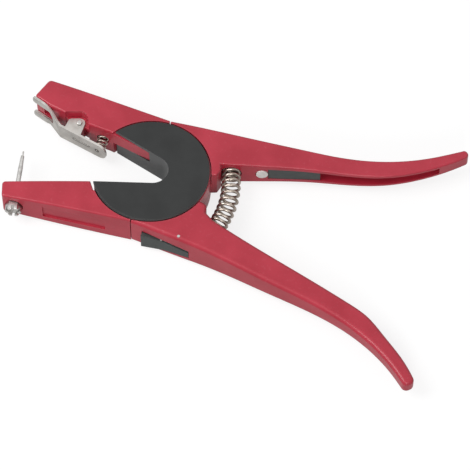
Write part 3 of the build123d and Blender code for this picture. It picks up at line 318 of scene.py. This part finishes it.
# Drawn spring wire: a warm bright line along each turn that falls off to dark at its sides
drawn_wire, tree, shader, place = new_finish("drawn_spring_wire")
cloud, tone = clouded(tree, place, WIRE_CLOUD_MM, WIRE, WIRE_SHADE)
colour_in(tree, shader, tone, cloud, WIRE_ROUGHNESS)
shader.inputs["Metallic"].default_value = 1.0
bump(tree, shader, (grain(tree, place, WIRE_MARK_MM, MARK_DETAIL), WIRE_MARK_DEPTH))

# Winds a wire round a path: evenly spaced points step out sideways and turn, closer together at both ends
winder = bpy.data.node_groups.new("wind_coil", "GeometryNodeTree")
winder.interface.new_socket("Path", in_out="INPUT", socket_type="NodeSocketGeometry")
coil_inputs = {}
for label, value in (("Turns", MAIN_COILS), ("Coil Radius", MAIN_RADIUS), ("Wire Radius", MAIN_WIRE),
                     ("Closing", MAIN_CLOSING)):
    socket = winder.interface.new_socket(label, in_out="INPUT", socket_type="NodeSocketFloat")
    socket.default_value = value
    coil_inputs[label] = socket.identifier
winder.interface.new_socket("Coil", in_out="OUTPUT", socket_type="NodeSocketGeometry")
given = node(winder, "NodeGroupInput").outputs
count = calc(winder, "MULTIPLY", given["Turns"], POINTS_PER_COIL)
even = node(winder, "GeometryNodeResampleCurve", {"Curve": given["Path"], "Count": count}, mode="COUNT")
share = node(winder, "GeometryNodeSplineParameter").outputs["Factor"]
bow = calc(winder, "SINE", calc(winder, "MULTIPLY", share, 2 * pi))
shift = calc(winder, "MULTIPLY", calc(winder, "MULTIPLY", bow, given["Closing"]), 1 / (2 * pi))
wound = calc(winder, "MULTIPLY", calc(winder, "ADD", share, shift), given["Turns"])
angle = calc(winder, "MULTIPLY", wound, 2 * pi)
normal = node(winder, "GeometryNodeInputNormal").outputs["Normal"]
tangent = node(winder, "GeometryNodeInputTangent").outputs["Tangent"]
spoke = node(winder, "ShaderNodeVectorRotate", {"Vector": normal, "Axis": tangent, "Angle": angle}).outputs[0]
reach = node(winder, "ShaderNodeVectorMath", {0: spoke, "Scale": given["Coil Radius"]}, operation="SCALE")
wave = node(winder, "GeometryNodeSetPosition", {"Geometry": even.outputs["Curve"],
                                                "Offset": reach.outputs["Vector"]}).outputs["Geometry"]
section = node(winder, "GeometryNodeCurvePrimitiveCircle", {"Resolution": WIRE_SIDES,
                                                            "Radius": given["Wire Radius"]})
wire = node(winder, "GeometryNodeCurveToMesh", {"Curve": wave, "Profile Curve": section.outputs["Curve"],
                                                "Fill Caps": True}).outputs["Mesh"]
smooth = node(winder, "GeometryNodeSetShadeSmooth", {"Geometry": wire}).outputs["Geometry"]
real = node(winder, "GeometryNodeRealizeInstances", {"Geometry": smooth}).outputs["Geometry"]
painted = node(winder, "GeometryNodeSetMaterial", {"Geometry": real, "Material": drawn_wire})
node(winder, "NodeGroupOutput", {"Coil": painted.outputs["Geometry"]})


def as_mesh(source, name):
    """Turns an object with its modifiers into a plain mesh object at the origin."""
    seen = source.evaluated_get(bpy.context.evaluated_depsgraph_get())
    mesh = bpy.data.meshes.new_from_object(seen)
    bpy.data.objects.remove(source)
    made = bpy.data.objects.new(name, mesh)
    bpy.context.scene.collection.objects.link(made)
    return made


def spring_path(top, heading, straight, bend, turn):
    """Middle line of a spring: straight out of its pocket, then round an arc to its foot."""
    ahead = Vector((cos(radians(heading)), sin(radians(heading)), 0))
    points = [top + ahead * (straight * step / STRAIGHT_STEPS) for step in range(STRAIGHT_STEPS)]
    middle = top + ahead * straight + Vector((ahead.y, -ahead.x, 0)) * bend
    for step in range(BEND_STEPS + 1):
        swung = radians(heading - turn * step / BEND_STEPS)
        points.append(middle + Vector((-sin(swung), cos(swung), 0)) * bend)
    return points


def wind(name, points, **sizes):
    """Winds one spring along a path of points."""
    path = bpy.data.curves.new(name + "_path", "CURVE")
    path.dimensions = "3D"
    line = path.splines.new("POLY")
    line.points.add(len(points) - 1)
    for spot, point in zip(line.points, points):
        spot.co = (*point, 1.0)
    holder = bpy.data.objects.new(name + "_path", path)
    bpy.context.scene.collection.objects.link(holder)
    modifier = holder.modifiers.new("coil", "NODES")
    modifier.node_group = winder
    for label, value in sizes.items():
        modifier[coil_inputs[label.replace("_", " ")]] = value
    return as_mesh(holder, name)


main_path = spring_path(MAIN_TOP, MAIN_HEADING, MAIN_STRAIGHT, MAIN_BEND, MAIN_TURN)
main_spring = wind("main_spring_coil", main_path, Turns=MAIN_COILS, Coil_Radius=MAIN_RADIUS,
                   Wire_Radius=MAIN_WIRE, Closing=MAIN_CLOSING)
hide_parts("main_spring")
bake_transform(main_spring)
clip_path = spring_path(CLIP_SPRING_TOP, CLIP_SPRING_HEADING, CLIP_SPRING_STRAIGHT, CLIP_SPRING_BEND,
                        CLIP_SPRING_TURN)
clip_spring = wind("clip_spring_coil", clip_path, Turns=CLIP_SPRING_COILS, Coil_Radius=CLIP_SPRING_RADIUS,
                   Wire_Radius=CLIP_SPRING_WIRE, Closing=CLIP_SPRING_CLOSING)
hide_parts("clip_spring")
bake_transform(clip_spring)

# Bar, rivet and lever: small mouldings set into the handles.
# The bar and the lever are moulded in a dark grey polymer and the rivet in a pale one.
# The bar is held by the rivet beside it, and the lever turns on a steel pin.
GREY = "#3C4140"
GREY_PALE = "#4B504F"
GREY_CLOUD_MM = 5.0
GREY_GRAIN_MM = 0.8
GREY_GRAIN_DEPTH = 0.012
GREY_ROUGHNESS = (0.45, 0.6)
GREY_IOR = 1.5
PALE = "#FFFEFA"
PALE_SHADE = "#F0EEE9"
PALE_CLOUD_MM = 3.0
PALE_GRAIN_MM = 0.7
PALE_GRAIN_DEPTH = 0.01
PALE_ROUGHNESS = (0.35, 0.5)
PALE_IOR = 1.48

# Dull grey polymer: a flat dark grey with a faint cloudy bloom
dull_grey, tree, shader, place = new_finish("dull_grey_polymer")
cloud, tone = clouded(tree, place, GREY_CLOUD_MM, GREY, GREY_PALE)
colour_in(tree, shader, tone, cloud, GREY_ROUGHNESS)
shader.inputs["IOR"].default_value = GREY_IOR
bump(tree, shader, (grain(tree, place, GREY_GRAIN_MM), GREY_GRAIN_DEPTH))
dress(["handle_insert", "latch_lever"], dull_grey)

# Pale acetal: near white with a soft waxy shine
pale_polymer, tree, shader, place = new_finish("pale_acetal")
cloud, tone = clouded(tree, place, PALE_CLOUD_MM, PALE, PALE_SHADE)
colour_in(tree, shader, tone, cloud, PALE_ROUGHNESS)
shader.inputs["IOR"].default_value = PALE_IOR
bump(tree, shader, (grain(tree, place, PALE_GRAIN_MM), PALE_GRAIN_DEPTH))
dress(["insert_rivet"], pale_polymer)

# Studio: a table of white paper under a white sky, a hair below the tool.
# Both look plain white, and they are dimmer in the tool's reflections, most near the horizon.
# A large soft lamp stands overhead to the left and a weaker one at the front.
FLOOR_REACH = 3.0
FLOOR_DROP = -0.05 * MM
PAPER = "#8C8C8C"
PAPER_GLOW = 0.8
PAPER_MIRRORED = 0.5
WHITE = "#FFFFFF"
SKY_AMBIENT = 0.45
SKY_HORIZON = 0.22
SKY_FULL_RISE = 0.55
LAMP_AIM = (0.05, -0.03, 0)
HIGH_LAMP_PLACE = (-0.85, -0.1, 1.05)
HIGH_LAMP_WIDTH = 0.8
HIGH_LAMP_WATTS = 9.0
FRONT_LAMP_PLACE = (0.1, -1.15, 0.6)
FRONT_LAMP_WIDTH = 0.35
FRONT_LAMP_WATTS = 3.8
floor_mesh = bpy.data.meshes.new("floor")
corners = [(FLOOR_REACH * x, FLOOR_REACH * y, FLOOR_DROP) for x, y in ((-1, -1), (1, -1), (1, 1), (-1, 1))]
floor_mesh.from_pydata(corners, [], [(0, 1, 2, 3)])
floor = bpy.data.objects.new("floor", floor_mesh)
bpy.context.scene.collection.objects.link(floor)

# White paper: matte and white to the eye, it keeps the tool's soft shadow
paper = bpy.data.materials.new("white_paper")
paper.use_nodes = True
tree = paper.node_tree
tree.nodes.clear()
matte = node(tree, "ShaderNodeBsdfDiffuse", {"Color": linear(PAPER)}).outputs["BSDF"]
seen = node(tree, "ShaderNodeLightPath").outputs
direct = calc(tree, "MAXIMUM", seen["Is Camera Ray"], seen["Is Transmission Ray"])
mirrored = calc(tree, "MULTIPLY", seen["Is Glossy Ray"], PAPER_MIRRORED)
glow = calc(tree, "MULTIPLY_ADD", direct, PAPER_GLOW, mirrored)
lit = node(tree, "ShaderNodeEmission", {"Color": linear(WHITE), "Strength": glow}).outputs["Emission"]
whole = node(tree, "ShaderNodeAddShader", {0: matte, 1: lit}).outputs["Shader"]
node(tree, "ShaderNodeOutputMaterial", {"Surface": whole})
floor_mesh.materials.append(paper)

world = bpy.data.worlds.new("studio")
bpy.context.scene.world = world
world.use_nodes = True
tree = world.node_tree
tree.nodes.clear()
seen = node(tree, "ShaderNodeLightPath").outputs
direct = calc(tree, "MAXIMUM", seen["Is Camera Ray"], seen["Is Transmission Ray"])
heading = node(tree, "ShaderNodeTexCoord").outputs["Generated"]
rise = node(tree, "ShaderNodeSeparateXYZ", {"Vector": heading}).outputs["Z"]
mirrored = ramp(tree, rise, 0.0, SKY_FULL_RISE, SKY_HORIZON, 1.0)
ambient = ramp(tree, seen["Is Glossy Ray"], 0.0, 1.0, SKY_AMBIENT, mirrored)
strength = ramp(tree, direct, 0.0, 1.0, ambient, 1.0)
sky = node(tree, "ShaderNodeBackground", {"Color": linear(WHITE), "Strength": strength})
node(tree, "ShaderNodeOutputWorld", {"Surface": sky.outputs["Background"]})


def lamp(name, place, width, watts):
    """A square soft lamp that looks at the tool."""
    light = bpy.data.lights.new(name, "AREA")
    light.size = width
    light.energy = watts
    made = bpy.data.objects.new(name, light)
    made.location = place
    made.rotation_euler = (Vector(LAMP_AIM) - Vector(place)).to_track_quat("-Z", "Y").to_euler()
    bpy.context.scene.collection.objects.link(made)


lamp("high_softbox", HIGH_LAMP_PLACE, HIGH_LAMP_WIDTH, HIGH_LAMP_WATTS)
lamp("front_softbox", FRONT_LAMP_PLACE, FRONT_LAMP_WIDTH, FRONT_LAMP_WATTS)

# Camera: a long lens from the front, 58 degrees above the table
CAMERA_PLACE = Vector((46.087, -836.817, 1293.572)) * MM
CAMERA_AIM = Vector((46.087, -41.938, 21.5)) * MM
LENS_MM = 212.77
FAR_END = 20.0
view = bpy.data.cameras.new("camera")
view.lens = LENS_MM
view.clip_end = FAR_END
camera = bpy.data.objects.new("camera", view)
camera.location = CAMERA_PLACE
camera.rotation_euler = (CAMERA_AIM - CAMERA_PLACE).to_track_quat("-Z", "Y").to_euler()
bpy.context.scene.collection.objects.link(camera)
bpy.context.scene.camera = camera
bpy.context.scene.view_settings.view_transform = "Standard"
